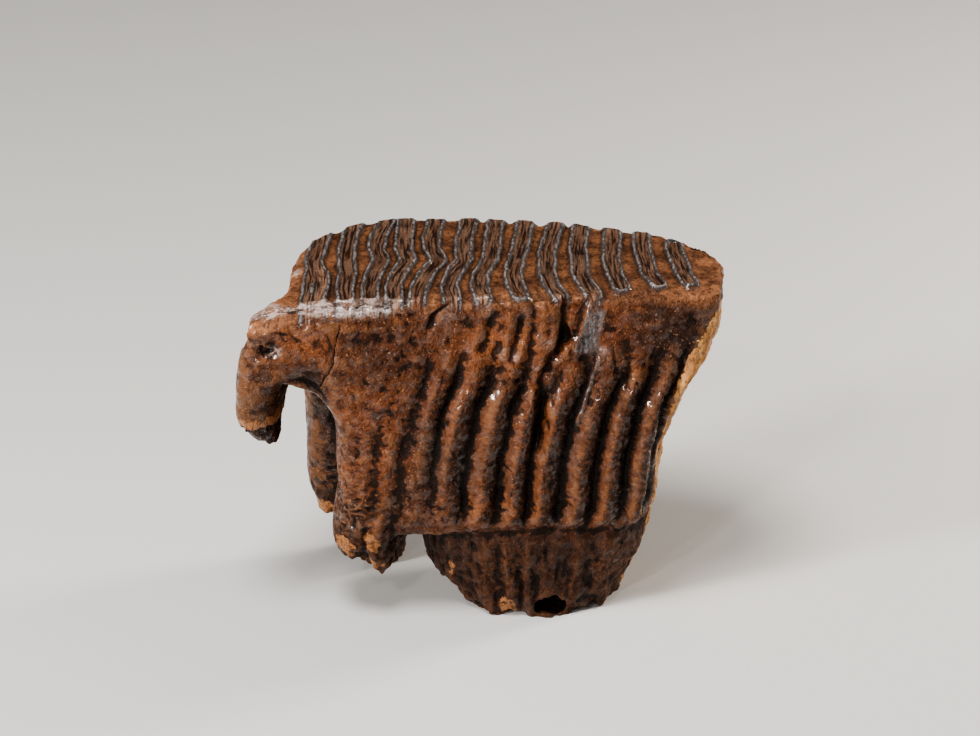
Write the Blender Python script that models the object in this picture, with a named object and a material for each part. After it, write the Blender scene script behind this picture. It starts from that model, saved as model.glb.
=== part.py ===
"""A fossil mammoth cheek tooth, standing on the broken stumps of its roots.

One natural piece. X runs along the tooth from its front root (-X) to its broken
back end (+X), -Y is the flatter side and +Y the rounder one, and the chewing
surface is on top. The block-out is a set of lofted bodies (crown, root base and
four roots) fused by a voxel remesh; the plates, ribs, ledges and breaks are then
worked into its surface by formula, and the roots' broken tips are cut flat where
they meet the ground.
"""
import itertools
import math

import bmesh
import bpy
import numpy as np

MM = 0.001

# Driving dimensions, in millimetres.
CROWN_TOP = 172.5
CERVIX_Z = 50.0
PLATE_HALF = 3.6
PLATE_RELIEF = 2.6
PLATE_PITCH = 14.0
FRONT_DROP = 9.5
RIB_HEIGHT = 5.4
RIB_ROUNDNESS = 1.7
RIB_SLANT = 0.185
RIB_BEND = 3.0
CREASE_DEPTH = 1.1
KNOB_HEIGHT = 1.6
RIM_HEIGHT = 1.3
BROW_SLOPE = 3.5
SPLINTER_HEIGHT = 2.4
FLUTE_COUNT = 19
FLUTE_HEIGHT = 1.0
CRUMBLE_HEIGHT = 2.2
FOOT_LIFT = 6.5
FOOT_FRONT_LIFT = 3.0
SWELL_HEIGHT = 1.2

# Fineness of the mesh.
VOXEL = 1.7
SOFTENING = 22
RING_POINTS = 96
LEVEL_STEP = 3.0
TRIANGLES = 9400
SHARP_ANGLE = math.radians(40)

# Hollows of the flatter side: x, z, half width, half height and depth.
ARMPIT = (-80, 123, 15, 24, 7.0)
FACET = (46, 146, 9, 19, 2.2)
PIT = (-96, 148, 7, 6, 2.4)
# The notch between the two tips of the middle root: its x, half width and lift.
NOTCH = (-55, 7, 6.5)
# The fissure that runs down from the rim: height and x, its half width and depth.
FISSURE = [(92, 25), (110, 26.5), (131, 26.7), (141, 31), (147, 34.5), (152, 37), (170, 36)]
FISSURE_HALF = 4.5
FISSURE_DEPTH = 4.0
FISSURE_TOP = (149, 160)
# The foot's bumps are one draw of the noise; this one leaves it standing level.
FOOT_SEED = 31

# Outline of the chewing surface seen from above, from the front corner of the
# flatter side round to the front again.
CROWN_PLAN = [
    (-107, -42), (-88, -45), (-60, -46), (-20, -43), (20, -41), (60, -38.5),
    (90, -35.5), (105.5, -33), (109, -22), (108, -6), (101, 10), (87, 22), (70, 29.5),
    (50, 35), (30, 38.5), (8, 42), (-20, 43.5), (-42, 41.5), (-60, 36), (-75, 24),
    (-85, 13), (-88, -8), (-90, -26), (-99, -34),
]
# Outline of the crown lower down, behind the arch, point for point with the plan.
LOWER_PLAN = [
    (-66, -37), (-60, -43), (-47, -45), (-20, -44), (5, -43), (30, -41.5),
    (55, -39.5), (74, -36), (81, -26), (83, -8), (80, 12), (72, 25), (60, 33),
    (45, 38), (25, 41), (5, 43), (-20, 43.5), (-38, 42), (-52, 37), (-61, 27),
    (-66, 10), (-68, -14),
]
ARCH_Z = (110.0, 134.0)

# Crown block: height, left end, right end, and how far each long side stands out
# as a share of the plan's.
CROWN_LEVELS = [
    (46, -58, 76, 0.82, 0.78),
    (56, -65, 80.5, 0.90, 0.88),
    (78, -67, 83, 0.97, 0.97),
    (93, -66.5, 85.5, 1.00, 1.01),
    (107, -68, 90.5, 1.02, 1.03),
    (117, -73, 95, 1.03, 1.04),
    (125, -82, 99, 1.03, 1.05),
    (134, -106.5, 103, 1.03, 1.05),
    (150, -106.5, 107.5, 1.02, 1.03),
    (165, -105.5, 110, 1.01, 1.01),
    (172.5, -105.5, 110.5, 0.99, 0.99),
]

# Root bodies: height, centre, half-widths and skew of each oval section.
BASE_LEVELS = [
    (78, 18, 0, 56, 34, 0), (58, 23, -1.5, 57.5, 37, 0), (36, 24.5, -2.5, 54, 34, 0),
    (20, 23, -3, 49, 29.5, 0.05), (9, 23.5, -4, 43.5, 28, 0.1), (-5, 26, -4, 37.5, 26.5, 0.12),
]
FRONT_ROOT = [
    (158, -90, -22, 9, 16, 0.5), (140, -93.5, -24.5, 13, 20.5, 0.4),
    (128, -96, -25.5, 12, 21, 0.35), (114, -100.5, -25, 10, 19.5, 0.22),
    (103, -100.5, -24, 9.4, 17, 0.15), (98, -98.5, -23, 8, 14, 0), (91, -95.5, -22, 4.5, 8, 0),
]
INNER_FRONT_ROOT = [
    (148, -58, 6, 9, 14, 0), (126, -64, 11, 13, 16, 0), (108, -69, 14.5, 13, 16, 0),
    (90, -70.5, 15, 12.5, 14.5, 0), (60, -71, 15, 11.5, 12.5, 0), (46, -71, 15, 11, 11, 0),
    (33, -70, 14, 7, 8, 0),
]
MIDDLE_ROOT = [
    (92, -40, -13, 18, 24, 0), (60, -50, -19, 17.5, 23, 0), (44, -54, -20.5, 15.5, 19, 0),
    (32, -53, -21, 13, 15, 0), (24, -48, -21, 7, 9, 0),
]
FAR_ROOT = [
    (96, -38, 12, 16, 20, 0), (66, -44, 18, 19, 22, 0), (46, -47, 22, 16, 18.5, 0),
    (26, -48, 26, 13.5, 15.5, 0), (6, -49.5, 29, 12, 13, 0), (-5, -50, 30, 11, 12, 0),
]
# The hollow of the pulp, open at the broken foot of the base.
PULP_HOLLOW = [
    (21, 30, -13, 3, 3, 0), (15, 30, -13, 8, 7, 0), (6, 30.5, -13, 10, 8.5, 0),
    (-8, 31, -13, 10.5, 9, 0),
]
PULP_WINDOW = [
    (12, 31.5, -24, 3, 10, 0), (8, 31.5, -24, 7.5, 12, 0), (3.5, 31.5, -24, 8, 12, 0),
    (2, 31.5, -23, 6.5, 10, 0),
]

# Where each enamel plate crosses the chewing surface, front plate first: its x at each
# of these distances across the tooth.
PLATE_Y = [36, 20, 7, -3, -18, -30, -40]
PLATES = [
    [-72.7, -73.0, -75.0, -76.3, -74.2, -74.3, -75.3],
    [-58.4, -60.5, -61.7, -61.4, -60.3, -61.4, -60.7],
    [-44.0, -47.8, -48.0, -45.6, -48.6, -50.0, -50.0],
    [-35.4, -35.8, -35.6, -33.6, -37.8, -39.6, -39.0],
    [-21.6, -23.5, -22.8, -19.6, -25.2, -27.9, -28.9],
    [-6.2, -8.2, -8.6, -8.4, -13.0, -14.9, -13.2],
    [6.2, 4.9, 4.5, 3.6, -0.6, -1.4, 0.6],
    [19.8, 18.4, 16.8, 15.4, 13.8, 14.8, 17.2],
    [34.1, 31.2, 29.5, 29.4, 29.2, 30.9, 36.2],
    [45.7, 44.3, 43.2, 44.1, 43.8, 46.8, 51.0],
    [59.8, 59.4, 58.6, 58.4, 59.5, 61.9, 66.0],
    [73.4, 72.9, 72.6, 73.8, 75.1, 79.5, 82.0],
    [87.2, 87.2, 87.4, 88.6, 90.6, 94.2, 97.0],
]
PLATE_COUNT = len(PLATES)
PLATE_NEAR_END = [-60, -60, -60, -60, -60, -44, -43, -42, -41, -40, -34, -31, -29]
PLATE_FAR_END = [60, 60, 60, 60, 60, 60, 60, 60, 60, 60, 34, 28, 17]
# Where the plates' ribs start at the top of each long side.
RIBS_NEAR = [-75.4, -61.2, -50.6, -39.6, -28.1, -13.5, -0.1, 17.2, 31.5, 44.3, 61.4, 74.7, 89.0,
             98.5]
RIBS_FAR = [plate[0] for plate in PLATES]


def smoothstep(low, high, value):
    """Ease from 0 at low to 1 at high."""
    share = np.clip((value - low) / (high - low), 0.0, 1.0)
    return share * share * (3.0 - 2.0 * share)


def bump(centre, half, value):
    """A smooth hump of height 1, half wide to each side of centre."""
    return 1.0 - smoothstep(0.0, half, np.abs(value - centre))


def corner_gradient(cell, seed):
    """A repeatable random direction for each corner of the noise lattice."""
    key = cell[:, 0] * 73856093 ^ cell[:, 1] * 19349663 ^ cell[:, 2] * 83492791 ^ seed * 961748941
    parts = []
    for step in range(3):
        key = (key ^ (key >> 15)) * 1103515245 + 12345 + step
        parts.append(((key >> 16) & 1023) / 511.5 - 1.0)
    return np.stack(parts, axis=1)


def noise(points, size, seed):
    """Smooth gradient noise, about -1 to 1, with lumps about size across."""
    scaled = points / size
    cell = np.floor(scaled).astype(np.int64)
    part = scaled - cell
    ease = part * part * (3.0 - 2.0 * part)
    total = np.zeros(len(points))
    for corner in itertools.product((0, 1), repeat=3):
        offset = np.array(corner)
        weight = np.prod(np.where(offset == 1, ease, 1.0 - ease), axis=1)
        slope = corner_gradient(cell + offset, seed)
        total += weight * np.sum(slope * (part - offset), axis=1)
    return total * 1.3


def closed_curve(points, count):
    """Points evenly stepped along a closed smooth curve through the given ones."""
    control = np.array(points, dtype=float)
    size = len(control)
    place = np.arange(count) * size / count
    index = place.astype(int)
    t = (place - index)[:, None]
    before, start, end, after = (control[(index + step) % size] for step in (-1, 0, 1, 2))
    return 0.5 * (2 * start + (end - before) * t
                  + (2 * before - 5 * start + 4 * end - after) * t ** 2
                  + (3 * start - before - 3 * end + after) * t ** 3)


def oval(centre_x, centre_y, half_x, half_y, skew):
    """A closed oval, a little squarer than an ellipse, sheared along x by skew."""
    turn = np.arange(RING_POINTS) * 2 * math.pi / RING_POINTS
    squareness = 0.85
    x = np.sign(np.cos(turn)) * np.abs(np.cos(turn)) ** squareness
    y = np.sign(np.sin(turn)) * np.abs(np.sin(turn)) ** squareness
    return np.stack([centre_x + half_x * x + skew * half_y * y, centre_y + half_y * y], axis=1)


def level_rows(levels):
    """The levels of a body with smooth rows put in between, lowest first."""
    table = np.array(sorted(levels), dtype=float)
    heights = table[:, 0]
    fine = np.linspace(heights[0], heights[-1], int((heights[-1] - heights[0]) / LEVEL_STEP) + 3)
    return [[z] + [np.interp(z, heights, column) for column in table[:, 1:].T] for z in fine]


def stretched(plan, left, right):
    """A plan's smooth outline with its ends moved to left and right."""
    outline = closed_curve(plan, RING_POINTS)
    low, high = outline[:, 0].min(), outline[:, 0].max()
    outline[:, 0] = left + (outline[:, 0] - low) * (right - left) / (high - low)
    return outline


def crown_ring(z, left, right, near, far):
    """The crown's outline at a height, between its upper and its lower plan."""
    share = smoothstep(*ARCH_Z, z)
    ring = (share * stretched(CROWN_PLAN, left, right)
            + (1.0 - share) * stretched(LOWER_PLAN, left, right))
    ring[:, 1] *= np.where(ring[:, 1] < 0, near, far)
    return ring


def add_loft(bm, rings):
    """Skin a stack of rings, given as (z, outline) from the lowest up, and cap it."""
    rows = []
    for z, outline in rings:
        rows.append([bm.verts.new((x * MM, y * MM, z * MM)) for x, y in outline])
    for lower, upper in zip(rows, rows[1:]):
        for index, vertex in enumerate(lower):
            following = (index + 1) % len(lower)
            bm.faces.new((vertex, lower[following], upper[following], upper[index]))
    bm.faces.new(reversed(rows[0]))
    bm.faces.new(rows[-1])


def loft_object(name, stacks):
    """One object of one or more closed lofts."""
    bm = bmesh.new()
    for rings in stacks:
        add_loft(bm, rings)
    mesh = bpy.data.meshes.new(name)
    bm.to_mesh(mesh)
    bm.free()
    obj = bpy.data.objects.new(name, mesh)
    bpy.context.collection.objects.link(obj)
    return obj


def root_rings(levels):
    """The stacked ovals of a root."""
    return [(row[0], oval(*row[1:])) for row in level_rows(levels)]


def replace_mesh(obj):
    """Turn an object's modifiers into mesh."""
    depsgraph = bpy.context.evaluated_depsgraph_get()
    mesh = bpy.data.meshes.new_from_object(obj.evaluated_get(depsgraph))
    obj.modifiers.clear()
    obj.data = mesh


def block_out():
    """The fused body of crown and roots, before its surface is worked."""
    crown = [(row[0], crown_ring(*row)) for row in level_rows(CROWN_LEVELS)]
    roots = [root_rings(levels) for levels in
             (BASE_LEVELS, FRONT_ROOT, INNER_FRONT_ROOT, MIDDLE_ROOT, FAR_ROOT)]
    body = loft_object("mammoth_tooth", [crown] + roots)
    fuse = body.modifiers.new("fuse", "REMESH")
    fuse.mode = "VOXEL"
    fuse.voxel_size = VOXEL * MM
    soften = body.modifiers.new("soften", "SMOOTH")
    soften.factor = 0.5
    soften.iterations = SOFTENING
    replace_mesh(body)
    return body


def open_pulp(body):
    """Hollow out the pulp under the base and break a window into it."""
    for name, levels in (("pulp_hollow", PULP_HOLLOW), ("pulp_window", PULP_WINDOW)):
        cutter = loft_object(name, [root_rings(levels)])
        cut = body.modifiers.new(name, "BOOLEAN")
        cut.operation = "DIFFERENCE"
        cut.object = cutter
        replace_mesh(body)
        bpy.data.objects.remove(cutter)


def plate_x(index, y):
    """Centre line of one plate: its x where it crosses the given y."""
    return np.interp(y, PLATE_Y[::-1], PLATES[index][::-1])


def plate_distance(points):
    """Distance in plan from the nearest plate's edge, negative inside the plate."""
    nearest = np.full(len(points), 1e3)
    x, y = points[:, 0], points[:, 1]
    for index in range(PLATE_COUNT):
        near_end = PLATE_NEAR_END[index] + PLATE_HALF
        far_end = PLATE_FAR_END[index] - PLATE_HALF
        inside = np.clip(y, near_end, far_end)
        sideways = x - plate_x(index, inside)
        nearest = np.minimum(nearest, np.hypot(sideways, y - inside) - PLATE_HALF)
    return nearest


def lean(z):
    """How far the plates have swung towards the front at a height, bending at both ends."""
    bend = smoothstep(92, 60, z) + smoothstep(112, 134, z) * (1 - smoothstep(140, 165, z))
    return RIB_BEND * bend - RIB_SLANT * np.maximum(CROWN_TOP - z, 0.0)


def rib_wave(points, near_side):
    """1 on the crest of each side rib and 0 in the groove between two."""
    row = np.array(RIBS_NEAR if near_side else RIBS_FAR)
    row = np.concatenate([[row[0] - PLATE_PITCH], row, [row[-1] + PLATE_PITCH]])
    upright = points[:, 0] - lean(points[:, 2])
    place = np.interp(upright, row, np.arange(len(row)))
    return np.abs(np.cos(math.pi * (place - np.round(place)))) ** RIB_ROUNDNESS


def rib_relief(points, normals):
    """Ribs of the plates showing through the cement of both long sides."""
    x, z = points[:, 0], points[:, 2]
    near = smoothstep(0.25, 0.7, -normals[:, 1])
    far = smoothstep(0.25, 0.7, normals[:, 1])
    band = smoothstep(CERVIX_Z - 2, CERVIX_Z + 12, z) * (1 - smoothstep(118, 156, z))
    along_near = smoothstep(-34, -8, x + 0.2 * (z - 80)) * (1 - smoothstep(94, 104, x))
    along_far = smoothstep(-52, -20, x) * (1 - smoothstep(86, 100, x))
    strength = 0.75 + 0.5 * noise(points, 38.0, 3)
    crest_near = rib_wave(points, True) - 0.5
    crest_far = rib_wave(points, False) - 0.5
    return RIB_HEIGHT * band * strength * (near * along_near * crest_near + far * along_far * crest_far)


def top_relief(points, normals):
    """Worn plates standing above the cement on the chewing surface."""
    x = points[:, 0]
    facing = smoothstep(0.35, 0.8, normals[:, 2]) * smoothstep(150, 158, points[:, 2])
    ridge = 1.0 - smoothstep(-0.4, 1.8, plate_distance(points))
    reach = smoothstep(-92, -80, x) * (1 - smoothstep(94, 102, x))
    slope = 1 - smoothstep(-112, -80, x - 0.2 * (points[:, 1] + 20))
    front_ledge = -FRONT_DROP * slope * smoothstep(138, CROWN_TOP, points[:, 2])
    return facing * PLATE_RELIEF * (ridge * reach - 0.6) + front_ledge


def dent(x, z, hollow):
    """A smooth hollow, given as x, z, half width, half height and depth."""
    centre_x, centre_z, half_x, half_z, depth = hollow
    return -depth * bump(centre_x, half_x, x) * bump(centre_z, half_z, z)


def side_relief(points, normals):
    """The hollows, ledges and fissure of the flatter side, and the crease at the neck."""
    x, y, z = points.T
    near = smoothstep(0.2, 0.7, -normals[:, 1])
    armpit = dent(x, z, ARMPIT) * smoothstep(-0.2, 0.7, -normals[:, 1])
    hollows = (dent(x, z, FACET) + dent(x, z, PIT)) * near
    neck_z = CERVIX_Z - 2.0 + 2.0 * np.sin(x / 17.0)
    on_sides = smoothstep(0.2, 0.6, np.abs(normals[:, 1])) * smoothstep(-22, -8, x)
    crease = -CREASE_DEPTH * bump(neck_z, 6.0, z) * on_sides
    heights, places = zip(*FISSURE)
    aside = x - np.interp(z, heights, places)
    half = FISSURE_HALF * (1 - 0.55 * smoothstep(150, 162, z))
    fissure = -FISSURE_DEPTH * bump(0, half, aside) * smoothstep(88, 104, z) * near
    fissure *= 1 - smoothstep(*FISSURE_TOP, z)
    under_rim = smoothstep(112, 128, z) * bump(8, 30, x) * near
    knobs = KNOB_HEIGHT * noise(points, 15.0, 21) * under_rim
    rim = RIM_HEIGHT * bump(160, 7, z) * (1 - smoothstep(-50, -20, x)) * near
    slope = -BROW_SLOPE * smoothstep(163, 174, z) * (1 - smoothstep(-46, -34, x)) * near
    return armpit + hollows + crease + fissure + knobs + rim + slope


def break_relief(points, normals):
    """Splintered back face, broken root tips and the fluting of the root base."""
    x, y, z = points.T
    back = smoothstep(0.45, 0.8, normals[:, 0]) * smoothstep(30, 60, x)
    splinters = back * (SPLINTER_HEIGHT * noise(points * (0.5, 1.0, 0.35), 7.0, 5) - 1.0)
    below = 1 - smoothstep(CERVIX_Z - 12, CERVIX_Z - 2, z)
    around = np.arctan2(y + 2, x - 24)
    turn = around * FLUTE_COUNT + 5.0 * noise(points * (1, 1, 0.4), 24.0, 8)
    uneven = 0.55 + 0.9 * noise(points * (1, 1, 0.5), 17.0, 9)
    flutes = FLUTE_HEIGHT * uneven * np.sin(turn) * below * smoothstep(-32, -22, x)
    front = (1 - smoothstep(92, 108, z + 0.6 * (x + 100))) * (x < -86)
    tips = np.where(x < -30, 1 - smoothstep(28, 48, z), 1 - smoothstep(4, 18, z))
    crumble = CRUMBLE_HEIGHT * noise(points, 8.0, 13) * np.maximum(front, tips)
    return splinters + flutes + crumble


def foot_lift(points):
    """How far the broken edge of the root base rises above the ground, point by point."""
    plan = points * (1, 1, 0)
    broken = FOOT_LIFT * smoothstep(0.0, 0.45, noise(plan, 19.0, FOOT_SEED))
    front_slope = FOOT_FRONT_LIFT * (1 - smoothstep(-22, 2, points[:, 0]))
    share = (points[:, 0] > -26) * (1 - smoothstep(0, 30, points[:, 2]))
    return (broken + front_slope) * share


def notch_lift(points):
    """How far the gap between the middle root's two tips rises, point by point."""
    x, y, z = points.T
    centre, half, lift = NOTCH
    return lift * bump(centre, half, x) * (1 - smoothstep(28, 48, z)) * (1 - smoothstep(-8, 0, y))


def swell(points):
    """Slow unevenness of the whole tooth."""
    return SWELL_HEIGHT * (noise(points, 34.0, 1) + 0.6 * noise(points, 16.0, 2))


def work_surface(obj):
    """Move each point of the body by the sum of its relief."""
    mesh = obj.data
    count = len(mesh.vertices)
    flat = np.empty(count * 3, dtype=np.float32)
    mesh.vertices.foreach_get("co", flat)
    points = flat.reshape(-1, 3).astype(float) / MM
    mesh.vertices.foreach_get("normal", flat)
    normals = flat.reshape(-1, 3).astype(float)
    along_normal = (rib_relief(points, normals) + side_relief(points, normals)
                    + break_relief(points, normals) + swell(points))
    moved = points + normals * along_normal[:, None]
    moved[:, 2] += top_relief(points, normals) + foot_lift(points) + notch_lift(points)
    mesh.vertices.foreach_set("co", (moved * MM).astype(np.float32).ravel())
    mesh.update()


def thin_out(obj):
    """Reduce the mesh to its budget of triangles."""
    reduce = obj.modifiers.new("reduce", "DECIMATE")
    triangles = sum(len(face.vertices) - 2 for face in obj.data.polygons)
    reduce.ratio = TRIANGLES / triangles
    reduce.use_collapse_triangulate = True
    replace_mesh(obj)


def cut_feet(obj):
    """Cut the broken roots level with the ground and close the cuts."""
    bm = bmesh.new()
    bm.from_mesh(obj.data)
    everything = bm.verts[:] + bm.edges[:] + bm.faces[:]
    cut = bmesh.ops.bisect_plane(bm, geom=everything, dist=1e-6, plane_co=(0, 0, 0),
                                 plane_no=(0, 0, 1), clear_inner=True)
    rim = [item for item in cut["geom_cut"] if isinstance(item, bmesh.types.BMEdge)]
    bmesh.ops.triangle_fill(bm, edges=rim, use_beauty=True, use_dissolve=False, normal=(0, 0, -1))
    bmesh.ops.recalc_face_normals(bm, faces=bm.faces)
    bmesh.ops.triangulate(bm, faces=bm.faces)
    bm.to_mesh(obj.data)
    bm.free()


def centre(obj):
    """Move the mesh sideways until its bounding box is centred over the origin."""
    mesh = obj.data
    flat = np.empty(len(mesh.vertices) * 3, dtype=np.float32)
    mesh.vertices.foreach_get("co", flat)
    plan = flat.reshape(-1, 3)[:, :2]
    middle = (plan.min(axis=0) + plan.max(axis=0)) / 2
    plan -= middle
    mesh.vertices.foreach_set("co", flat)
    mesh.update()


def fossil_material():
    """Varnished brown fossil bone and cement."""
    material = bpy.data.materials.new("fossil")
    material.use_nodes = True
    shader = material.node_tree.nodes["Principled BSDF"]
    shader.inputs["Base Color"].default_value = (0.16, 0.075, 0.035, 1.0)
    shader.inputs["Roughness"].default_value = 0.4
    shader.inputs["Metallic"].default_value = 0.0
    return material


def main():
    for obj in list(bpy.data.objects):
        bpy.data.objects.remove(obj)
    tooth = block_out()
    work_surface(tooth)
    open_pulp(tooth)
    thin_out(tooth)
    cut_feet(tooth)
    centre(tooth)
    tooth.data.materials.clear()
    tooth.data.materials.append(fossil_material())
    tooth.data.shade_smooth()
    tooth.data.set_sharp_from_angle(angle=SHARP_ANGLE)


main()
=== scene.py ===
"""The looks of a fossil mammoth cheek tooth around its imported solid.

One piece replaces the one node: a fine mesh of the whole tooth. It starts from the same
block-out as the solid, at the same sizes, and carries the finer relief: enamel loops in
wear, worn dentine and cement, ribs, cracks, pits, flutes, splinters and broken tips. Masks
worked out from the final surface drive one node material of cement, enamel, dentine and
broken bone. Lengths are in millimetres until a mesh is written.
"""

import itertools
import math

import bmesh
import bpy
import numpy as np
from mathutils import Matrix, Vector


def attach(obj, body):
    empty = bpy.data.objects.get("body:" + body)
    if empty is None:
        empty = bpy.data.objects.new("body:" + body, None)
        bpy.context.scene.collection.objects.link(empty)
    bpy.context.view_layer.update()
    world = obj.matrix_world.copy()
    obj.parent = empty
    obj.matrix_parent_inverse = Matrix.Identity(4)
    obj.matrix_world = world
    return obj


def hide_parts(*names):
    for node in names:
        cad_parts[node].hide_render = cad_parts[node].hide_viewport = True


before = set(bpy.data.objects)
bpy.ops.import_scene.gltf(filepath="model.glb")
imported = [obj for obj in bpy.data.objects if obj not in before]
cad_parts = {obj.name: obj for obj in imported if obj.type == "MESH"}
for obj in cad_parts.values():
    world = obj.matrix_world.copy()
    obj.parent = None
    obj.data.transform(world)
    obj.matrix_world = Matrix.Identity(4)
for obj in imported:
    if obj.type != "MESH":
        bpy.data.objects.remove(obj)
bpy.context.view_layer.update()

NODE = "mammoth_tooth"
MM = 0.001

# The camera: it looks along +Y and down, from far enough for a long lens.
VIEW_DISTANCE = 1.8
VIEW_ELEVATION = math.radians(28)
VIEW_WIDTH = 0.451
VIEW_AIM = Vector((0.0046, 0.0006, 0.1154))
SENSOR = 36.0

# The plain studio: colours, and each light's name, place, size, power and colour.
FLOOR_HALF = 6.0
FLOOR_COLOUR = (0.60, 0.59, 0.575, 1.0)
WORLD_COLOUR = (0.8, 0.82, 0.85, 1.0)
WORLD_STRENGTH = 0.08
LIGHTS = [
    ("key", (-1.20, -0.66, 0.46), 0.25, 25.0, (1.0, 0.96, 0.92)),
    ("above", (-0.20, -0.45, 1.30), 0.42, 18.0, (1.0, 0.98, 0.96)),
    ("edge", (1.0, 0.35, 0.45), 0.25, 13.0, (1.0, 0.93, 0.84)),
    ("glints", (-0.75, -1.30, 0.32), 0.06, 4.5, (1.0, 0.98, 0.96)),
    ("sparkle", (-0.39, -1.08, 1.08), 0.05, 3.0, (1.0, 0.98, 0.96)),
]

# Driving dimensions of the solid.
CROWN_TOP = 172.5
CERVIX_Z = 50.0
PLATE_HALF = 3.6
PLATE_PITCH = 14.0
FRONT_DROP = 9.5
RIB_HEIGHT = 5.4
RIB_ROUNDNESS = 1.7
RIB_SLANT = 0.185
RIB_BEND = 3.0
CREASE_DEPTH = 1.1
KNOB_HEIGHT = 1.6
RIM_HEIGHT = 1.3
BROW_SLOPE = 3.5
SPLINTER_HEIGHT = 2.4
FLUTE_COUNT = 19
FLUTE_HEIGHT = 1.0
CRUMBLE_HEIGHT = 2.2
FOOT_LIFT = 6.5
FOOT_FRONT_LIFT = 3.0
SWELL_HEIGHT = 1.2

# Fineness of the block-out and of the finished mesh.
VOXEL = 1.7
SOFTENING = 22
FINE_VOXEL = 0.52
FINE_SOFTENING = 3
RING_POINTS = 96
LEVEL_STEP = 3.0
TRIANGLES = 188000
SHARP_ANGLE = math.radians(60)

# Hollows of the flatter side: x, z, half width, half height and depth.
ARMPIT = (-80, 123, 15, 24, 7.0)
FACET = (46, 146, 9, 19, 2.2)
PIT = (-96, 148, 7, 6, 2.4)
# The notch between the middle root's two tips: x, half width and lift.
NOTCH = (-55, 7, 6.5)
# The fissure below the rim, as (z, x), its half width, depth and the rows where it ends.
FISSURE = [(92, 25), (110, 26.5), (131, 26.7), (141, 31), (147, 34.5), (152, 37), (170, 36)]
FISSURE_HALF = 4.5
FISSURE_DEPTH = 4.0
FISSURE_TOP = (149, 160)
FOOT_SEED = 31

# The crown's outline from above, at the chewing surface and lower down behind the arch.
CROWN_PLAN = [
    (-107, -42), (-88, -45), (-60, -46), (-20, -43), (20, -41), (60, -38.5),
    (90, -35.5), (105.5, -33), (109, -22), (108, -6), (101, 10), (87, 22), (70, 29.5),
    (50, 35), (30, 38.5), (8, 42), (-20, 43.5), (-42, 41.5), (-60, 36), (-75, 24),
    (-85, 13), (-88, -8), (-90, -26), (-99, -34),
]
LOWER_PLAN = [
    (-66, -37), (-60, -43), (-47, -45), (-20, -44), (5, -43), (30, -41.5),
    (55, -39.5), (74, -36), (81, -26), (83, -8), (80, 12), (72, 25), (60, 33),
    (45, 38), (25, 41), (5, 43), (-20, 43.5), (-38, 42), (-52, 37), (-61, 27),
    (-66, 10), (-68, -14),
]
ARCH_Z = (110.0, 134.0)
# The crown: height, left end, right end and each long side's share of the outline.
CROWN_LEVELS = [
    (46, -58, 76, 0.82, 0.78),
    (56, -65, 80.5, 0.90, 0.88),
    (78, -67, 83, 0.97, 0.97),
    (93, -66.5, 85.5, 1.00, 1.01),
    (107, -68, 90.5, 1.02, 1.03),
    (117, -73, 95, 1.03, 1.04),
    (125, -82, 99, 1.03, 1.05),
    (134, -106.5, 103, 1.03, 1.05),
    (150, -106.5, 107.5, 1.02, 1.03),
    (165, -105.5, 110, 1.01, 1.01),
    (172.5, -105.5, 110.5, 0.99, 0.99),
]
# The roots: height, centre, half widths and skew of each oval section.
BASE_LEVELS = [
    (78, 18, 0, 56, 34, 0), (58, 23, -1.5, 57.5, 37, 0), (36, 24.5, -2.5, 54, 34, 0),
    (20, 23, -3, 49, 29.5, 0.05), (9, 23.5, -4, 43.5, 28, 0.1), (-5, 26, -4, 37.5, 26.5, 0.12),
]
FRONT_ROOT = [
    (158, -90, -22, 9, 16, 0.5), (140, -93.5, -24.5, 13, 20.5, 0.4),
    (128, -96, -25.5, 12, 21, 0.35), (114, -100.5, -25, 10, 19.5, 0.22),
    (103, -100.5, -24, 9.4, 17, 0.15), (98, -98.5, -23, 8, 14, 0), (91, -95.5, -22, 4.5, 8, 0),
]
INNER_FRONT_ROOT = [
    (148, -58, 6, 9, 14, 0), (126, -64, 11, 13, 16, 0), (108, -69, 14.5, 13, 16, 0),
    (90, -70.5, 15, 12.5, 14.5, 0), (60, -71, 15, 11.5, 12.5, 0), (46, -71, 15, 11, 11, 0),
    (33, -70, 14, 7, 8, 0),
]
MIDDLE_ROOT = [
    (92, -40, -13, 18, 24, 0), (60, -50, -19, 17.5, 23, 0), (44, -54, -20.5, 15.5, 19, 0),
    (32, -53, -21, 13, 15, 0), (24, -48, -21, 7, 9, 0),
]
FAR_ROOT = [
    (96, -38, 12, 16, 20, 0), (66, -44, 18, 19, 22, 0), (46, -47, 22, 16, 18.5, 0),
    (26, -48, 26, 13.5, 15.5, 0), (6, -49.5, 29, 12, 13, 0), (-5, -50, 30, 11, 12, 0),
]
PULP_HOLLOW = [
    (21, 30, -13, 3, 3, 0), (15, 30, -13, 8, 7, 0), (6, 30.5, -13, 10, 8.5, 0),
    (-8, 31, -13, 10.5, 9, 0),
]
PULP_WINDOW = [
    (12, 31.5, -24, 3, 10, 0), (8, 31.5, -24, 7.5, 12, 0), (3.5, 31.5, -24, 8, 12, 0),
    (2, 31.5, -23, 6.5, 10, 0),
]

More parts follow.
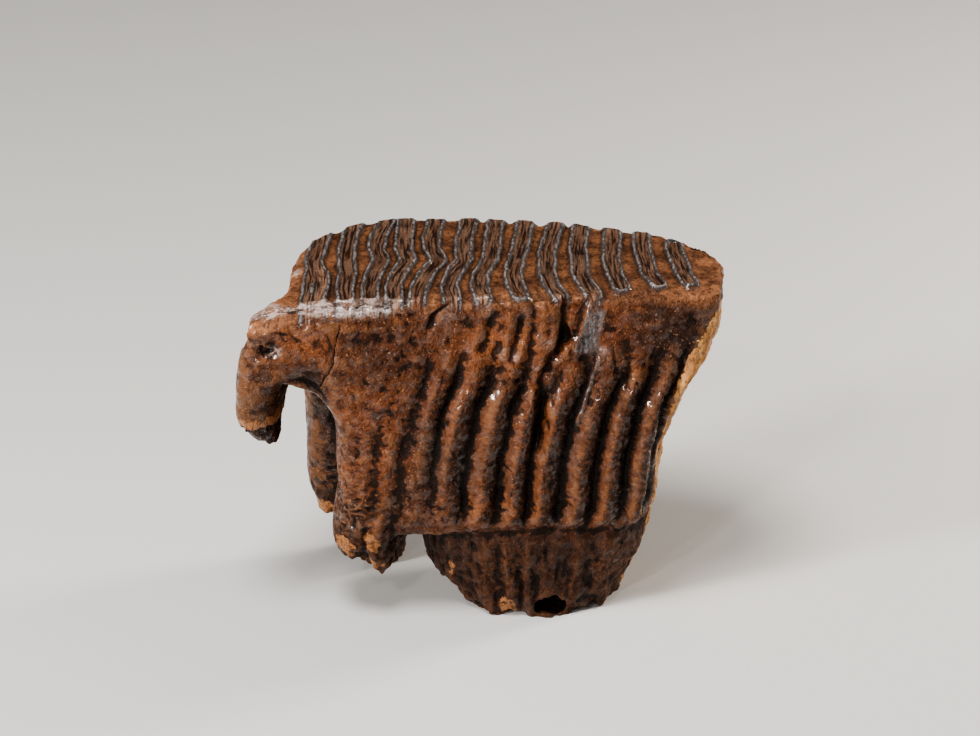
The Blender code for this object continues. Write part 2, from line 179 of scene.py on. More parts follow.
# Where each enamel plate crosses the chewing surface, front plate first: its x at each
# of these distances across the tooth.
PLATE_Y = [36, 20, 7, -3, -18, -30, -40]
PLATES = [
    [-72.7, -73.0, -75.0, -76.3, -74.2, -74.3, -75.3],
    [-58.4, -60.5, -61.7, -61.4, -60.3, -61.4, -60.7],
    [-44.0, -47.8, -48.0, -45.6, -48.6, -50.0, -50.0],
    [-35.4, -35.8, -35.6, -33.6, -37.8, -39.6, -39.0],
    [-21.6, -23.5, -22.8, -19.6, -25.2, -27.9, -28.9],
    [-6.2, -8.2, -8.6, -8.4, -13.0, -14.9, -13.2],
    [6.2, 4.9, 4.5, 3.6, -0.6, -1.4, 0.6],
    [19.8, 18.4, 16.8, 15.4, 13.8, 14.8, 17.2],
    [34.1, 31.2, 29.5, 29.4, 29.2, 30.9, 36.2],
    [45.7, 44.3, 43.2, 44.1, 43.8, 46.8, 51.0],
    [59.8, 59.4, 58.6, 58.4, 59.5, 61.9, 66.0],
    [73.4, 72.9, 72.6, 73.8, 75.1, 79.5, 82.0],
    [87.2, 87.2, 87.4, 88.6, 90.6, 94.2, 97.0],
]
PLATE_COUNT = len(PLATES)
PLATE_NEAR_END = [-60, -60, -60, -60, -60, -44, -43, -42, -41, -40, -34, -31, -29]
PLATE_FAR_END = [60, 60, 60, 60, 60, 60, 60, 60, 60, 60, 34, 28, 17]
# Where the plates' ribs start at the top of each long side.
RIBS_NEAR = [-75.4, -61.2, -50.6, -39.6, -28.1, -13.5, -0.1, 17.2, 31.5, 44.3, 61.4, 74.7, 89.0, 98.5]
RIBS_FAR = [plate[0] for plate in PLATES]
# The front plate is split by a small enamel island in its nearer half.
FRONT_PLATE_WIDENING = 1.9
ISLAND = (-75.9, -30.0, 3.2, 0.5)

# The chewing surface's relief.
ENAMEL_HALF = 1.35
ENAMEL_HEIGHT = 1.25
DENTINE_HEIGHT = 0.5
DENTINE_DISH = 1.5
CEMENT_HEIGHT = -0.6
EDGE_NOTCH = 1.0
# The step that breaks the front corner of that surface: y, the x where it ends, and height.
CORNER_STEP = (-9.0, -76.0, 2.2)

# Lines of the flatter side, as (z, x) from the lowest point up, then half width and
# height: grooves and cracks are below the surface, the bared enamel edge is above it.
CRACK = [(127, -73.1), (135, -70.4), (137.7, -68.1), (142, -66.7), (152, -65.3), (162, -63)]
SIDE_LINES = [
    (CRACK, 0.5, -0.8),
    ([(158, -23.9), (166, -20.7), (172, -11.5)], 3.2, -1.7),
    ([(119, -21.5), (136, -17.3)], 3.6, -1.3),
    ([(146, 0.0), (165, 5.0)], 4.2, -2.0),
    ([(141, 12.5), (165, 19.0)], 4.2, -2.2),
    ([(136, 60.3), (147, 59)], 1.3, -0.8),
    ([(128, 65), (137, 66.5)], 1.3, -0.7),
]
ENAMEL_EDGE = [(107, 42.4), (122, 46.9), (140, 52.2)]
ENAMEL_EDGE_HALF = 1.5
ENAMEL_EDGE_HEIGHT = 1.3
# The recess beside the fissure: its left and right borders, as (z, x).
RECESS_LEFT = [(150, 36.5), (172, 36.5)]
RECESS_RIGHT = [(150, 40.5), (172, 47.5)]
RECESS_DEPTH = 2.0
# The enamel face bared beside it, with the same kind of borders.
BARE_LEFT = [(145, 41.5), (165, 47.8)]
BARE_RIGHT = [(145, 50.5), (165, 54.5)]
# Small holes and bumps of that side: x, z, half width, half height and depth.
SIDE_DENTS = [
    (16.1, 131, 1.5, 1.5, 1.8), (1, 127.6, 4.5, 1.1, 1.1), (8.7, 143, 1.8, 3.4, -0.9),
    (69.5, 129, 1.2, 1.2, 1.0), (-44, 128, 5, 3, 0.7), (-52, 133, 4, 5, 0.6), (-48, 53, 4.5, 11, -1.8),
    (-54, 50, 2.5, 12, 1.2), (-41, 50, 3, 12, 1.4),
]
# Dark mineral stains: x, z, half width, half height and strength.
STAINS = [
    (-45, 118, 9, 8, 1.0), (-31, 104, 7, 7, 1.0), (-58, 126, 6, 6, 1.0), (-96, 149, 7, 6, 1.0),
    (101, 152, 13, 14, 1.0), (4, 131, 7, 6, 1.0), (-14, 126, 6, 8, 1.0), (31, 128, 6, 16, 1.0),
    (-72, 116, 12, 10, 1.0), (-20, 95, 7, 14, 1.0), (-58, 60, 12, 12, 0.8),
]
# Darker areas, partly the tooth's darker patina and partly painted shade where the real tooth lies in
# shade, as in the arch and on the front root; then paler smooth areas and spots of painted highlight, in
# the same way.
SHADES = [
    (-102, 124, 30, 48, 0.9), (98, 146, 44, 34, 0.95), (78, 96, 50, 64, 0.55), (-60, 60, 24, 36, 0.6),
    (-78, 130, 20, 19, 1.0), (-30, 76, 24, 30, 0.3),
]
SATIN = [
    (-78, 152, 20, 14, 1.0), (-101, 134, 12, 16, 0.5), (6, 148, 36, 18, 1.0), (46, 130, 10, 18, 0.4),
    (-30, 128, 24, 22, 0.3),
]
# Painted highlights: pale spots that stand in for the lamps' glints on the knobs and at the brow.
PAINTED_GLINTS = [
    (-15, 165, 6, 5, 0.4), (3, 166, 4, 6, 0.45), (19, 165, 4, 6, 0.45), (8.7, 145, 3, 5, 0.6),
    (-93, 148, 5, 4, 0.8), (54, 146, 4, 4, 0.6), (52, 138, 2, 5, 0.5), (15, 143, 2.5, 3, 0.7),
    (24, 137, 2, 3, 0.6), (-6, 147, 3, 3, 0.5), (30, 150, 3, 3, 0.5),
]
# The pale broken hind end: how wide it shows on the long side at each height, as (z, width).
BREAK_WIDTHS = [
    (0, 1.4), (30, 2.0), (48, 1.8), (68, 3.0), (100, 4.2), (112, 6.5), (127, 10.5), (140, 11.0), (150, 8.5),
    (160, 4.5), (166, 2.5),
]
# Other breaks: x, y, z and radius of each, and how flat it is.
CHIPS = [
    (-66, -37, 39, 8.0, 1.2), (-50, -33, 30, 4.5, 1.0), (-74, 14, 36, 13, 1.5), (-50, -36, 46, 5.0, 0.7),
    (12, -30, 5, 3.5, 0.5), (-38, 14, 34, 9.0, 0.6), (-16, -30, 22, 5.0, 0.7),
]
# The front root's broken end: heights of the peeled band's lower and upper edge.
PEELED_Z = (105.5, 111.0)
# Where the front root ends, the tips of the other roots end and the root base starts.
FRONT_ROOT_BACK = -86
ROOT_TIPS_BACK = -30
BASE_FRONT = -26
# The crumbly band above the neck, in the same way as the stains.
CRUMBLY = [(8, 63, 34, 9, 1.0), (-48, 53, 4, 10, 1.0), (60, 26, 26, 26, 0.6), (10, 30, 30, 22, 0.3)]
# Rows in which the hind end is looked for, and the ledge and the brow of the near side.
END_STEP = 2.0
LEDGE_Z = 157.5
LEDGE_HEIGHT = 0.7
BROW_Z = 164.3
BROW_HEIGHT = 0.8

# Colours, as linear red, green and blue.
CEMENT_LIGHT = (0.124, 0.036, 0.0112)
CEMENT_MID = (0.068, 0.02, 0.0066)
CEMENT_DARK = (0.015, 0.0052, 0.0024)
CEMENT_SATIN = (0.205, 0.064, 0.0195)
CEMENT_TOP = (0.275, 0.118, 0.056)
CEMENT_TOP_DARK = (0.125, 0.052, 0.026)
MANGANESE = (0.011, 0.0078, 0.0076)
# Dark patina in the hollows, also used as painted shade in the broad hollows and in the rib grooves.
PATINA_AND_SHADE = (0.005, 0.0026, 0.0017)
PATINA = (0.01, 0.004, 0.0022)
# Painted light: the paler colour of the rib flanks that face the key lamp.
PALE_LIT_FLANK = (0.096, 0.036, 0.0165)
RUBBED = (0.19, 0.08, 0.034)
CRUMB = (0.33, 0.165, 0.082)
CRUMBLY_BAND = (0.2, 0.07, 0.024)
DENTINE = (0.205, 0.114, 0.073)
DENTINE_DARK = (0.024, 0.013, 0.0095)
ENAMEL = (0.03, 0.0255, 0.0255)
ENAMEL_CREST = (0.2, 0.182, 0.18)
ENAMEL_FACE = (0.12, 0.11, 0.112)
# Painted highlight: the brow's pale colour stands in for its reflection of the light above.
BROW_PAINTED_HIGHLIGHT = (0.4, 0.325, 0.3)
BONE_TAN = (0.56, 0.295, 0.108)
BONE_BROWN = (0.27, 0.12, 0.042)
BONE_STREAK = (0.08, 0.032, 0.012)
CHIP = (0.25, 0.108, 0.043)
# How upright streaks are stretched, the surface's gloss, and how deep its bump is.
UPRIGHT = (1.0, 1.0, 0.22)
SPECULAR = 0.12
VARNISH_ROUGHNESS = 0.15
BUMP_HEIGHT = 1.7


def only(share, values, *arrays):
    """share times values(*arrays), worked out only where share is above zero."""
    total = np.zeros(len(share))
    keep = share > 0
    total[keep] = share[keep] * values(*(array[keep] for array in arrays))
    return total


def rise(start, end, value):
    """Ease from 0 at start to 1 at end, whichever of the two is larger."""
    share = np.clip((value - start) / (end - start), 0.0, 1.0)
    return share * share * (3.0 - 2.0 * share)


def fall(start, end, value):
    """Ease from 1 at start to 0 at end."""
    return 1.0 - rise(start, end, value)


def span(low, full_low, full_high, high, value):
    """1 from full_low to full_high, easing to 0 at low and at high."""
    return rise(low, full_low, value) * fall(full_high, high, value)


def bump(centre, half, value):
    """A smooth hump of height 1, half wide to each side of centre."""
    return fall(0.0, half, np.abs(value - centre))


def corner_gradient(cell, seed):
    """A repeatable random direction for each corner of the noise lattice."""
    key = cell[:, 0] * 73856093 ^ cell[:, 1] * 19349663 ^ cell[:, 2] * 83492791 ^ seed * 961748941
    parts = []
    for step in range(3):
        key = (key ^ (key >> 15)) * 1103515245 + 12345 + step
        parts.append(((key >> 16) & 1023) / 511.5 - 1.0)
    return np.stack(parts, axis=1)


def noise(points, size, seed):
    """Smooth gradient noise, about -1 to 1, with lumps about size across."""
    scaled = points / size
    cell = np.floor(scaled).astype(np.int64)
    part = scaled - cell
    ease = part * part * (3.0 - 2.0 * part)
    total = np.zeros(len(points))
    for corner in itertools.product((0, 1), repeat=3):
        offset = np.array(corner)
        weight = np.prod(np.where(offset == 1, ease, 1.0 - ease), axis=1)
        slope = corner_gradient(cell + offset, seed)
        total += weight * np.sum(slope * (part - offset), axis=1)
    return total * 1.3


def catmull(before, start, end, after, t):
    """A point between start and end on a smooth curve through all four."""
    return 0.5 * (2 * start + (end - before) * t
                  + (2 * before - 5 * start + 4 * end - after) * t ** 2
                  + (3 * start - before - 3 * end + after) * t ** 3)


def closed_curve(points, count):
    """Points evenly stepped along a closed smooth curve through the given ones."""
    control = np.array(points, dtype=float)
    size = len(control)
    place = np.arange(count) * size / count
    index = place.astype(int)
    t = (place - index)[:, None]
    before, start, end, after = (control[(index + step) % size] for step in (-1, 0, 1, 2))
    return catmull(before, start, end, after, t)


def oval(centre_x, centre_y, half_x, half_y, skew):
    """A closed oval, a little squarer than an ellipse, sheared along x by skew."""
    turn = np.arange(RING_POINTS) * 2 * math.pi / RING_POINTS
    squareness = 0.85
    x = np.sign(np.cos(turn)) * np.abs(np.cos(turn)) ** squareness
    y = np.sign(np.sin(turn)) * np.abs(np.sin(turn)) ** squareness
    return np.stack([centre_x + half_x * x + skew * half_y * y, centre_y + half_y * y], axis=1)


def level_rows(levels):
    """The levels of a body with smooth rows put in between, lowest first."""
    table = np.array(sorted(levels), dtype=float)
    heights = table[:, 0]
    fine = np.linspace(heights[0], heights[-1], int((heights[-1] - heights[0]) / LEVEL_STEP) + 3)
    return [[z] + [np.interp(z, heights, column) for column in table[:, 1:].T] for z in fine]


def stretched(plan, left, right):
    """A plan's smooth outline with its ends moved to left and right."""
    outline = closed_curve(plan, RING_POINTS)
    low, high = outline[:, 0].min(), outline[:, 0].max()
    outline[:, 0] = left + (outline[:, 0] - low) * (right - left) / (high - low)
    return outline


def crown_ring(z, left, right, near, far):
    """The crown's outline at a height, between its upper and its lower plan."""
    share = rise(*ARCH_Z, z)
    ring = (share * stretched(CROWN_PLAN, left, right)
            + (1.0 - share) * stretched(LOWER_PLAN, left, right))
    ring[:, 1] *= np.where(ring[:, 1] < 0, near, far)
    return ring


def add_loft(bm, rings):
    """Skin a stack of rings, given as (z, outline) from the lowest up, and cap it."""
    rows = []
    for z, outline in rings:
        rows.append([bm.verts.new((x * MM, y * MM, z * MM)) for x, y in outline])
    for lower, upper in zip(rows, rows[1:]):
        for index, vertex in enumerate(lower):
            following = (index + 1) % len(lower)
            bm.faces.new((vertex, lower[following], upper[following], upper[index]))
    bm.faces.new(reversed(rows[0]))
    bm.faces.new(rows[-1])


def add_object(name, data):
    """A new object of the scene."""
    obj = bpy.data.objects.new(name, data)
    bpy.context.collection.objects.link(obj)
    return obj


def loft_object(name, stacks):
    """One object of one or more closed lofts."""
    bm = bmesh.new()
    for rings in stacks:
        add_loft(bm, rings)
    mesh = bpy.data.meshes.new(name)
    bm.to_mesh(mesh)
    bm.free()
    return add_object(name, mesh)


def root_rings(levels):
    """The stacked ovals of a root."""
    return [(row[0], oval(*row[1:])) for row in level_rows(levels)]


def modify(obj, kind, **settings):
    """Work a modifier with these settings into an object's mesh."""
    modifier = obj.modifiers.new(kind.lower(), kind)
    for name, value in settings.items():
        setattr(modifier, name, value)
    depsgraph = bpy.context.evaluated_depsgraph_get()
    mesh = bpy.data.meshes.new_from_object(obj.evaluated_get(depsgraph))
    old = obj.data
    obj.modifiers.clear()
    obj.data = mesh
    bpy.data.meshes.remove(old)


def fuse_voxels(obj, size, softening):
    """Fuse the mesh into even faces of about one size, softened that many times."""
    modify(obj, "REMESH", mode="VOXEL", voxel_size=size * MM)
    modify(obj, "SMOOTH", factor=0.5, iterations=softening)


def block_out():
    """The fused body of crown and roots, before its surface is worked."""
    crown = [(row[0], crown_ring(*row)) for row in level_rows(CROWN_LEVELS)]
    roots = [root_rings(levels) for levels in
             (BASE_LEVELS, FRONT_ROOT, INNER_FRONT_ROOT, MIDDLE_ROOT, FAR_ROOT)]
    body = loft_object("fossil_tooth", [crown] + roots)
    fuse_voxels(body, VOXEL, SOFTENING)
    return body


def open_pulp(body):
    """Hollow out the pulp under the base and break a window into it."""
    for name, levels in (("pulp_hollow", PULP_HOLLOW), ("pulp_window", PULP_WINDOW)):
        cutter = loft_object(name, [root_rings(levels)])
        modify(body, "BOOLEAN", operation="DIFFERENCE", object=cutter)
        bpy.data.objects.remove(cutter)


def read_surface(obj):
    """The mesh's points, in millimetres, and their normals."""
    mesh = obj.data
    flat = np.empty(len(mesh.vertices) * 3, dtype=np.float32)
    mesh.vertices.foreach_get("co", flat)
    points = flat.reshape(-1, 3).astype(float) / MM
    mesh.vertices.foreach_get("normal", flat)
    return points, flat.reshape(-1, 3).astype(float)


def write_points(obj, points):
    """Move the mesh's points to the given places, in millimetres."""
    obj.data.vertices.foreach_set("co", (points * MM).astype(np.float32).ravel())
    obj.data.update()


def plate_x(index, y):
    """Centre line of one plate: its x where it crosses the given y."""
    return np.interp(y, PLATE_Y[::-1], PLATES[index][::-1])


def plate_distance(points):
    """Distance in plan from the nearest plate's edge, negative inside the plate."""
    nearest = np.full(len(points), 1e3)
    wobble = 0.75 * noise(points * (1, 1, 0), 6.0, 41) + 0.35 * noise(points * (1, 1, 0), 2.6, 42)
    x, y = points[:, 0] + wobble, points[:, 1]
    for index in range(PLATE_COUNT):
        half = PLATE_HALF + 0.35 * noise(points * (1, 1, 0), 17.0, 60 + index)
        if index == 0:
            half = half + FRONT_PLATE_WIDENING * rise(-10, -18, y)
        near_end = PLATE_NEAR_END[index] + PLATE_HALF
        far_end = PLATE_FAR_END[index] - PLATE_HALF
        inside = np.clip(y, near_end, far_end)
        sideways = x - plate_x(index, inside)
        nearest = np.minimum(nearest, np.hypot(sideways, y - inside) - half)
    return nearest


def plate_offset(points):
    """How far each point lies to the side of its plate's centre line, a different range for each plate."""
    x, y = points[:, 0], points[:, 1]
    offset = np.full(len(points), 1e3)
    shift = np.zeros(len(points))
    for index in range(PLATE_COUNT):
        aside = x - plate_x(index, y)
        closer = np.abs(aside) < np.abs(offset)
        offset = np.where(closer, aside, offset)
        shift = np.where(closer, 23.0 * index, shift)
    return offset + shift


def island_distance(points):
    """Distance in plan from the edge of the small enamel island, negative inside it."""
    x, y, half_length, half_width = ISLAND
    along = np.clip(points[:, 1], y - half_length, y + half_length)
    return np.hypot(points[:, 0] - x, points[:, 1] - along) - half_width


def lean(z):
    """How far the plates have swung towards the front at a height, bending at both ends."""
    bend = rise(92, 60, z) + rise(112, 134, z) * fall(140, 165, z)
    return RIB_BEND * bend - RIB_SLANT * np.maximum(CROWN_TOP - z, 0.0)


def rib_place(points, near_side):
    """Which rib a point lies on, counted from a virtual one before the first."""
    row = np.array(RIBS_NEAR if near_side else RIBS_FAR)
    row = np.concatenate([[row[0] - PLATE_PITCH], row, [row[-1] + PLATE_PITCH]])
    return np.interp(points[:, 0] - lean(points[:, 2]), row, np.arange(len(row)))


def rib_wave(points, near_side):
    """1 on the crest of each side rib and 0 in the groove between two."""
    place = rib_place(points, near_side)
    return np.abs(np.cos(math.pi * (place - np.round(place)))) ** RIB_ROUNDNESS


def rib_relief(points, normals):
    """Ribs of the plates showing through the cement of both long sides."""
    x, z = points[:, 0], points[:, 2]
    near = rise(0.25, 0.7, -normals[:, 1])
    far = rise(0.25, 0.7, normals[:, 1])
    band = span(CERVIX_Z - 2, CERVIX_Z + 12, 118, 156, z)
    along_near = rise(-34, -8, x + 0.2 * (z - 80)) * fall(94, 104, x)
    along_far = span(-52, -20, 86, 100, x)
    strength = 0.75 + 0.5 * noise(points, 38.0, 3)
    crest_near = rib_wave(points, True) - 0.5
    crest_far = rib_wave(points, False) - 0.5
    return RIB_HEIGHT * band * strength * (near * along_near * crest_near + far * along_far * crest_far)


def chewing_share(points, normals):
    """1 on the chewing surface, easing to 0 over its edge."""
    return rise(0.35, 0.8, normals[:, 2]) * rise(150, 158, points[:, 2])


def front_ledge(points):
    """How far the front corner of the chewing surface steps down."""
    x, y, z = points.T
    slope = fall(-112, -80, x - 0.2 * (y + 20))
    step_y, step_x, step_height = CORNER_STEP
    step = rise(step_y, step_y - 2.5, y) * fall(step_x - 6, step_x, x)
    step *= rise(CROWN_TOP - 16, CROWN_TOP - 8, z)
    return -FRONT_DROP * slope * rise(138, CROWN_TOP, z) - step_height * step


def plate_reach(x):
    """1 along the row of plates, easing to 0 at its ends."""
    return span(-92, -84, 98, 104, x)


def inland(points):
    """How far each point of the chewing surface lies from its long edges."""
    x, y = points[:, 0], points[:, 1]
    far = sorted(corner for corner in CROWN_PLAN if corner[1] > 0)
    return np.minimum(np.interp(x, *zip(*far)) - y, rim_gap(points))


def rim_gap(points):
    """How far each point lies behind the near edge of the chewing surface."""
    near = sorted(corner for corner in CROWN_PLAN if corner[1] < -30)
    return points[:, 1] - np.interp(points[:, 0], *zip(*near))


def wear_relief(points):
    """Height of the worn enamel, dentine and cement."""
    reach = plate_reach(points[:, 0])
    flat = rise(2.0, 7.0, inland(points))
    gap = plate_distance(points)
    uneven = 0.9 + 0.4 * noise(points, 5.0, 47) + 0.5 * noise(points, 2.0, 50)
    enamel = bump(0.0, ENAMEL_HALF, gap) * uneven
    island = bump(0.0, 0.9, island_distance(points))
    crest = ENAMEL_HEIGHT * flat * np.maximum(enamel, 0.8 * island)
    inside = rise(0.7, -0.5, gap)
    dentine = DENTINE_HEIGHT - DENTINE_DISH * flat * rise(0.0, -2.6, gap)
    cement = (CEMENT_HEIGHT - EDGE_NOTCH * (1 - flat)) * rise(0.2, 2.4, gap)
    level = inside * dentine + (1 - inside) * cement
    pebble = 0.5 * noise(points, 9.0, 51) + 0.28 * noise(points, 3.0, 45) + 0.26 * noise(points, 1.6, 46)
    bare_end = (1 - reach) * (0.8 * noise(points, 5.0, 48) + 0.5 * noise(points, 2.6, 49) - 0.4)
    return reach * (level + crest) + pebble + bare_end


def top_relief(points, normals):
    """Relief of the chewing surface, up from the solid's level."""
    return only(chewing_share(points, normals), wear_relief, points) + front_ledge(points)


def line_relief(x, z, path, half, height):
    """A groove or ridge of the side that follows a steep line."""
    heights, places = zip(*path)
    aside = x - np.interp(z, heights, places)
    low = rise(heights[0] - 4, heights[0] + 4, z)
    high = fall(heights[-1] - 4, heights[-1] + 4, z)
    return height * bump(0.0, half, aside) * low * high


def between(x, z, left, right, soften):
    """1 between two steep borders of the side, easing to 0 over soften."""
    low = np.interp(z, *zip(*left))
    high = np.interp(z, *zip(*right))
    low_row, high_row = left[0][0], left[-1][0]
    rows = span(low_row - 3, low_row + 1, high_row, high_row + 3, z)
    return span(low - soften, low, high, high + soften, x) * rows


def side_wobble(points):
    """How unsteadily the lines of the flatter side run."""
    return 0.8 * noise(points, 7.0, 71) + 0.4 * noise(points, 3.0, 72)


def flat_side_relief(points):
    """Fine relief of the flatter side."""
    wobble = side_wobble(points)
    x = points[:, 0] + wobble
    z = points[:, 2] + 0.8 * wobble
    total = line_relief(x, z, ENAMEL_EDGE, ENAMEL_EDGE_HALF, ENAMEL_EDGE_HEIGHT)
    for path, half, height in SIDE_LINES:
        total += line_relief(x, z, path, half, height)
    for hollow in SIDE_DENTS:
        total += dent(x, z, hollow)
    total -= RECESS_DEPTH * between(x, z, RECESS_LEFT, RECESS_RIGHT, 1.8)
    total += 0.6 * between(x, z, BARE_LEFT, BARE_RIGHT, 2.0)
    crumbled = bump(PIT[0], 8, x) * bump(PIT[1] + 1, 7, z)
    total += 1.9 * crumbled * (noise(points, 2.8, 97) + 0.5 * noise(points, 1.5, 98) - 0.3)
    ledge = rise(LEDGE_Z - 2.0, LEDGE_Z + 1.4, z + 2.5 * wobble)
    total += LEDGE_HEIGHT * ledge * rise(52, 56, x) * fall(84, 92, x)
    brow = rise(BROW_Z - 0.7, BROW_Z + 0.7, z + 0.8 * wobble)
    total += BROW_HEIGHT * brow * rise(-98, -90, x) * fall(-50, -36, x)
    wrinkled = rise(BROW_Z - 1, BROW_Z + 2, z) * fall(-36, -14, x)
    total += wrinkled * (0.8 * noise(points * (0.5, 1, 1), 2.4, 99) + 0.6 * noise(points, 3.4, 100))
    return total


def rib_detail(points, near_side):
    """Pebbly rib crests with smooth front flanks, and upper ribs that show again below the rim."""
    x, z = points[:, 0], points[:, 2]
    place = rib_place(points, near_side) + 0.05 * noise(points, 9.0, 74)
    beside = place - np.round(place)
    band = span(CERVIX_Z, CERVIX_Z + 10, 122, 144, z)
    along = rise(-30, -10, x + 0.2 * (z - 80)) * fall(92, 102, x)
    groove = -0.3 * rise(0.3, 0.5, np.abs(beside))
    pebbly = bump(0.16, 0.26, beside)
    pebbles = pebbly * (0.55 * noise(points, 2.9, 75) + 0.3 * noise(points, 1.6, 76) + 0.3)
    upper = rise(138, 148, z) * bump(22, 36, x) * (0.55 - 1.2 * rise(0.2, 0.5, np.abs(beside)))
    knobbly = 0.8 * noise(points, 6.5, 77) + 0.5 * noise(points, 3.2, 78)
    lumps = rise(124, 134, z) * bump(12, 34, x) * knobbly
    weak = 0.9 * band * bump(-40, 20, x) * np.cos(2 * math.pi * beside) * rise(118, 104, z)
    return band * along * (groove + pebbles) + 1.6 * upper + lumps + weak


def root_detail(points):
    """Fine flutes, splinters and crumbled ends of the roots and of their base."""
    x, z = points[:, 0], points[:, 2]
    below = fall(CERVIX_Z - 14, CERVIX_Z + 2, z)
    flutes = noise(points * (1, 1, 0.14), 4.6, 81) + 0.6 * noise(points * (1, 1, 0.2), 2.4, 82)
    splinters = np.abs(noise(points * (1, 1, 0.12), 3.6, 85))
    left = fall(28, 52, x)
    crumbly = bump(CERVIX_Z + 12, 12, z) * fall(36, 60, x) * rise(-30, -18, x)
    rough = 0.9 * noise(points, 4.0, 83) + 0.6 * noise(points, 2.0, 84)
    tip = (x < ROOT_TIPS_BACK) * fall(30, 44, z)
    wrinkled = bump(-60, 26, x) * bump(62, 34, z)
    wrinkles = 0.7 - 2.4 * np.abs(noise(points * (0.6, 1, 1), 3.2, 86))
    bare = rotten_share(points)
    return (below * (0.5 + 0.5 * left) * (flutes - 1.4 * splinters) + wrinkled * wrinkles
            + (0.9 * crumbly + 1.3 * np.maximum(bare, 0.8 * tip)) * rough - 1.3 * bare)


def peeled_height(points):
    """Height of each point of the front root, made ragged for its broken edges."""
    return points[:, 2] + 2.0 * noise(points, 5.5, 87) + 1.0 * noise(points, 2.4, 88)


def rotten_share(points):
    """1 on the dark splintered end of the front root, below its peeled edge."""
    edge = PEELED_Z[0]
    return (points[:, 0] < FRONT_ROOT_BACK) * rise(edge + 0.6, edge - 0.6, peeled_height(points))


def ragged_ends(points):
    """How far the broken ends of the roots are splintered upwards, point by point."""
    x, z = points[:, 0], points[:, 2]
    shreds = noise(points * (1, 1, 0.1), 4.2, 91) + 0.6 * noise(points * (1, 1, 0.1), 2.2, 92)
    front = fall(97, 112, z + 0.4 * (x + 100)) * (x < FRONT_ROOT_BACK)
    roots = (x > FRONT_ROOT_BACK) * (x < BASE_FRONT - 2) * fall(26, 48, z) * rise(3, 14, z)
    base = (x > BASE_FRONT) * fall(2, 16, z) * rise(0.6, 3, z)
    return shreds * (3.4 * front + 3.2 * roots + 1.8 * base)


def skin_relief(points):
    """Dimples, faint peeled layers and pebbly roughness of the cement everywhere."""
    layer = noise(points, 19.0, 61) + 0.5 * noise(points, 8.0, 62)
    peeled = 0.3 * rise(0.0, 0.3, layer)
    dimples = 0.45 * noise(points, 8.5, 64) + 0.35 * noise(points, 4.6, 65)
    pebbled = rise(-0.3, 0.4, noise(points, 26.0, 63))
    pits = -0.5 * pebbled * rise(0.2, 0.6, noise(points * (1, 1, 0.6), 3.4, 66))
    folds = np.abs(noise(points * (1, 1, 0.6), 15.0, 67))
    creases = -0.45 * rise(0.05, 0.0, folds) * rise(0.05, 0.4, noise(points, 24.0, 68))
    coarse = (0.16 + 0.3 * pebbled) * noise(points, 2.9, 51)
    fine = (0.10 + 0.24 * pebbled) * noise(points, 1.7, 52)
    return peeled + dimples + pits + creases + coarse + fine


def dent(x, z, hollow):
    """A smooth hollow, given as x, z, half width, half height and depth."""
    centre_x, centre_z, half_x, half_z, depth = hollow
    return -depth * bump(centre_x, half_x, x) * bump(centre_z, half_z, z)


def side_relief(points, normals):
    """The hollows, ledges and fissure of the flatter side, and the crease at the neck."""
    x, z = points[:, 0], points[:, 2]
    near = rise(0.2, 0.7, -normals[:, 1])
    armpit = dent(x, z, ARMPIT) * rise(-0.2, 0.7, -normals[:, 1])
    hollows = (dent(x, z, FACET) + dent(x, z, PIT)) * near
    neck_z = CERVIX_Z - 2.0 + 2.0 * np.sin(x / 17.0)
    on_sides = rise(0.2, 0.6, np.abs(normals[:, 1])) * rise(-22, -8, x)
    crease = -CREASE_DEPTH * bump(neck_z, 6.0, z) * on_sides
    heights, places = zip(*FISSURE)
    aside = x - np.interp(z, heights, places)
    half = FISSURE_HALF * (1 - 0.55 * rise(150, 162, z))
    fissure = -FISSURE_DEPTH * bump(0, half, aside) * rise(88, 104, z) * near
    fissure *= fall(*FISSURE_TOP, z)
    under_rim = rise(112, 128, z) * bump(8, 30, x) * near
    knobs = KNOB_HEIGHT * noise(points, 15.0, 21) * under_rim
    rim = RIM_HEIGHT * bump(160, 7, z) * fall(-50, -20, x) * near
    slope = -BROW_SLOPE * rise(163, 174, z) * fall(-46, -34, x) * near
    return armpit + hollows + crease + fissure + knobs + rim + slope


def break_relief(points, normals):
    """Splintered back face, broken root tips and the fluting of the root base."""
    x, y, z = points.T
    back = rise(0.45, 0.8, normals[:, 0]) * rise(30, 60, x)
    splinters = back * (SPLINTER_HEIGHT * noise(points * (0.5, 1.0, 0.35), 7.0, 5) - 1.0)
    below = fall(CERVIX_Z - 12, CERVIX_Z - 2, z)
    around = np.arctan2(y + 2, x - 24)
    turn = around * FLUTE_COUNT + 5.0 * noise(points * (1, 1, 0.4), 24.0, 8)
    uneven = 0.55 + 0.9 * noise(points * (1, 1, 0.5), 17.0, 9)
    flutes = FLUTE_HEIGHT * uneven * np.sin(turn) * below * rise(-32, -22, x)
    front = fall(92, 108, z + 0.6 * (x + 100)) * (x < FRONT_ROOT_BACK)
    tips = np.where(x < ROOT_TIPS_BACK, fall(28, 48, z), fall(4, 18, z))
    crumble = CRUMBLE_HEIGHT * noise(points, 8.0, 13) * np.maximum(front, tips)
    return splinters + flutes + crumble


def foot_lift(points):
    """How far the broken edge of the root base rises above the ground, point by point."""
    plan = points * (1, 1, 0)
    broken = FOOT_LIFT * rise(0.0, 0.45, noise(plan, 19.0, FOOT_SEED))
    front_slope = FOOT_FRONT_LIFT * fall(-22, 2, points[:, 0])
    share = (points[:, 0] > BASE_FRONT) * fall(0, 30, points[:, 2])
    return (broken + front_slope) * share


